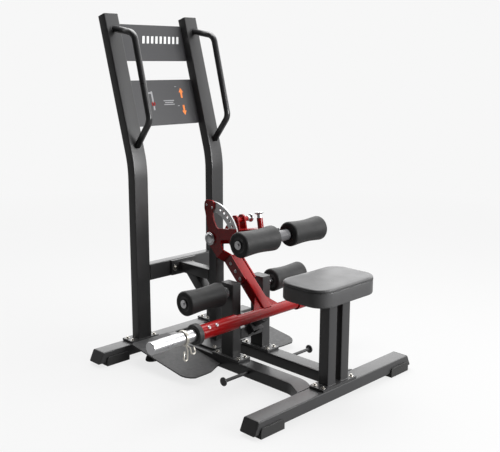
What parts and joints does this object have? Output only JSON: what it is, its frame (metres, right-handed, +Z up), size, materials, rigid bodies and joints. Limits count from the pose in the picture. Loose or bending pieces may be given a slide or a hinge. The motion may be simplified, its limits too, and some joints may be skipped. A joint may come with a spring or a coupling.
{
  "type": "standing hip thrust machine",
  "caption": "Plate-loaded standing hip thrust machine: pivoting red lever with padded rollers, loading sleeves, foot plates, seat pad and leaning uprights with handles.",
  "frame": {"origin": "middle of the bounding box in plan, at floor level", "axes": "+Z up, +X to the machine's right as seen from the seat end looking at the uprights, -Y towards the seat, +Y towards the uprights"},
  "size_m": [1.24, 1.222, 1.5104],
  "materials": {
    "frame_paint": "satin charcoal powder coat",
    "red_paint": "gloss red powder coat",
    "chrome": "polished chrome plate",
    "plated_steel": "zinc plated, lightly brushed",
    "slide_tube": "satin dark grey",
    "foam": "matt closed-cell foam sleeve",
    "seat_vinyl": "fine-grained upholstery vinyl",
    "black_rubber": "moulded matt rubber",
    "end_plastic": "moulded end cap",
    "panel_paint": "satin black sheet",
    "grip": "ribbed hand grip over dark steel"
  },
  "bodies": {
    "frame": {"front_base": "frame_paint", "rear_base": "frame_paint", "front_cap_right": "end_plastic", "front_cap_left": "end_plastic", "rear_cap_right": "end_plastic", "rear_cap_left": "end_plastic", "front_boot_right": "black_rubber", "front_boot_left": "black_rubber", "rear_boot_right": "black_rubber", "rear_boot_left": "black_rubber", "rail_right": "frame_paint", "rail_left": "frame_paint", "upright_right": "frame_paint", "upright_left": "frame_paint", "upright_cap_right": "end_plastic", "upright_cap_left": "end_plastic", "crossbar": "frame_paint", "mast_beam": "frame_paint", "mast": "frame_paint", "column_right": "frame_paint", "column_left": "frame_paint", "column_cap_right": "end_plastic", "column_cap_left": "end_plastic", "column_beam": "frame_paint", "bumper": "black_rubber", "lower_axle_right": "chrome", "lower_axle_left": "chrome", "seat_stand": "frame_paint", "seat_pad": "seat_vinyl", "foot_plate_right": "frame_paint", "foot_plate_left": "frame_paint", "rubber_foot_right": "black_rubber", "rubber_foot_left": "black_rubber", "peg_right": "frame_paint", "peg_left": "frame_paint", "handle_right": "grip", "handle_left": "grip", "sign_plate": "panel_paint", "placard": "panel_paint"},
    "lever": {"fork_right": "red_paint", "fork_left": "red_paint", "lever_frame": "red_paint", "pivot_shaft": "chrome", "sector_plate": "plated_steel", "sleeve_right": "chrome", "sleeve_left": "chrome", "collar_right": "black_rubber", "collar_left": "black_rubber"},
    "roller_arm": {"roller_arm": "red_paint"},
    "arm_slide": {"arm_slide": "slide_tube"},
    "sector_pin": {"sector_pin": "plated_steel"},
    "reach_pin": {"reach_pin": "plated_steel"},
    "upper_roller_right": {"upper_roller_right": "foam"},
    "upper_roller_left": {"upper_roller_left": "foam"},
    "lower_roller_right": {"lower_roller_right": "foam"},
    "lower_roller_left": {"lower_roller_left": "foam"},
    "clip_right": {"clip_right": "plated_steel"},
    "clip_left": {"clip_left": "plated_steel"}
  },
  "joints": [
    {"name": "lever_lift", "type": "hinge", "parent": "frame", "child": "lever", "pos_m": [0, 0.11742, 0.552], "axis": [-1, 0, 0], "range_deg": [0, 50]},
    {"name": "roller_arm_angle", "type": "hinge", "parent": "lever", "child": "roller_arm", "pos_m": [0, 0.11742, 0.552], "axis": [-1, 0, 0], "range_deg": [-9.6, 19.2]},
    {"name": "roller_reach", "type": "slide", "parent": "roller_arm", "child": "arm_slide", "axis": [0, -0.9839, 0.1788], "range_m": [0, 0.06]},
    {"name": "sector_pin_pull", "type": "slide", "parent": "roller_arm", "child": "sector_pin", "axis": [1, 0, 0], "range_m": [0, 0.014], "stiffness_N_per_m": 400, "springref_m": -0.005},
    {"name": "reach_pin_pull", "type": "slide", "parent": "roller_arm", "child": "reach_pin", "axis": [0, 0.1788, 0.9839], "range_m": [0, 0.014], "stiffness_N_per_m": 400, "springref_m": -0.005},
    {"name": "upper_roller_right_spin", "type": "hinge", "parent": "arm_slide", "child": "upper_roller_right", "pos_m": [0, -0.24002, 0.61086], "axis": [1, 0, 0], "continuous": true},
    {"name": "lower_roller_right_spin", "type": "hinge", "parent": "frame", "child": "lower_roller_right", "pos_m": [0, -0.04158, 0.3546], "axis": [1, 0, 0], "continuous": true},
    {"name": "upper_roller_left_spin", "type": "hinge", "parent": "arm_slide", "child": "upper_roller_left", "pos_m": [0, -0.24002, 0.61086], "axis": [1, 0, 0], "continuous": true},
    {"name": "lower_roller_left_spin", "type": "hinge", "parent": "frame", "child": "lower_roller_left", "pos_m": [0, -0.04158, 0.3546], "axis": [1, 0, 0], "continuous": true},
    {"name": "clip_right_slide", "type": "slide", "parent": "lever", "child": "clip_right", "axis": [1, 0, 0], "range_m": [0, 0.14]},
    {"name": "clip_left_slide", "type": "slide", "parent": "lever", "child": "clip_left", "axis": [-1, 0, 0], "range_m": [0, 0.14]}
  ]
}
